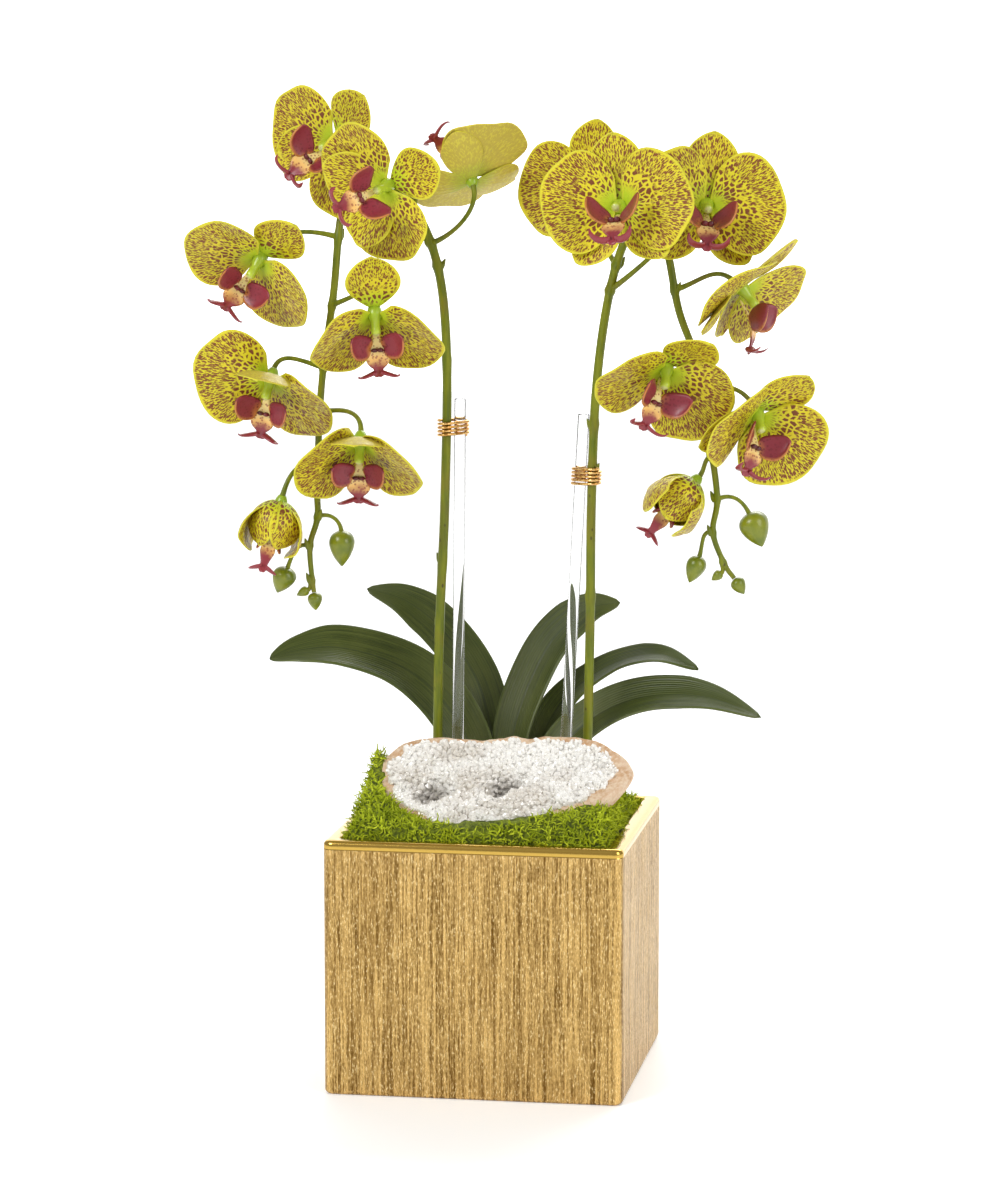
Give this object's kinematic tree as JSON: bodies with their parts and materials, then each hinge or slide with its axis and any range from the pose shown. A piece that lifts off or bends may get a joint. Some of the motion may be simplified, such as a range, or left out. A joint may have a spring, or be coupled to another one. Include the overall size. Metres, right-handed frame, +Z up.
{
  "type": "potted orchid",
  "caption": "Potted moth orchid with arching sprays of spotted yellow flowers, clear stakes, moss and half a geode in a square gold pot.",
  "frame": {"origin": "centre of the pot's underside", "axes": "+Z up out of the pot, -Y towards the front that the flowers and the geode's face look to, +X to the right seen from the front"},
  "size_m": [0.3256, 0.1575, 0.5037],
  "materials": {
    "gold_glaze": "brushed metallic gold glaze with a polished rim",
    "foam": "rough dark florist's foam",
    "moss": "soft matt preserved moss",
    "quartz": "glittering white quartz with a tan rind",
    "stem": "satin green",
    "leaf": "satin dark green with long veins",
    "petal": "soft satin yellow with maroon spots",
    "lip": "satin dark red",
    "bud": "waxy green",
    "acrylic": "clear polished",
    "copper_wire": "bright copper-gold wire"
  },
  "bodies": {
    "root": {"bloom_left_1": "petal", "bloom_left_2": "petal", "bloom_left_3": "petal", "bloom_left_4": "petal", "bloom_left_5": "petal", "bloom_left_6": "petal", "bloom_left_7": "petal", "bloom_left_8": "petal", "bloom_right_1": "petal", "bloom_right_2": "petal", "bloom_right_3": "petal", "bloom_right_4": "petal", "bloom_right_5": "petal", "bloom_right_6": "petal", "bloom_right_7": "petal", "bud_left_1": "bud", "bud_left_2": "bud", "bud_left_3": "bud", "bud_left_4": "bud", "bud_right_1": "bud", "bud_right_2": "bud", "bud_right_3": "bud", "bud_right_4": "bud", "filling_block": "foam", "geode": "quartz", "leaf_1": "leaf", "leaf_2": "leaf", "leaf_3": "leaf", "leaf_4": "leaf", "leaf_5": "leaf", "lip_left_1": "lip", "lip_left_2": "lip", "lip_left_3": "lip", "lip_left_4": "lip", "lip_left_5": "lip", "lip_left_6": "lip", "lip_left_7": "lip", "lip_left_8": "lip", "lip_right_1": "lip", "lip_right_2": "lip", "lip_right_3": "lip", "lip_right_4": "lip", "lip_right_5": "lip", "lip_right_6": "lip", "lip_right_7": "lip", "moss_bed": "moss", "pot": "gold_glaze", "spike_left": "stem", "spike_right": "stem", "stake_left": "acrylic", "stake_right": "acrylic", "tie_left": "copper_wire", "tie_right": "copper_wire"}
  },
  "joints": []
}
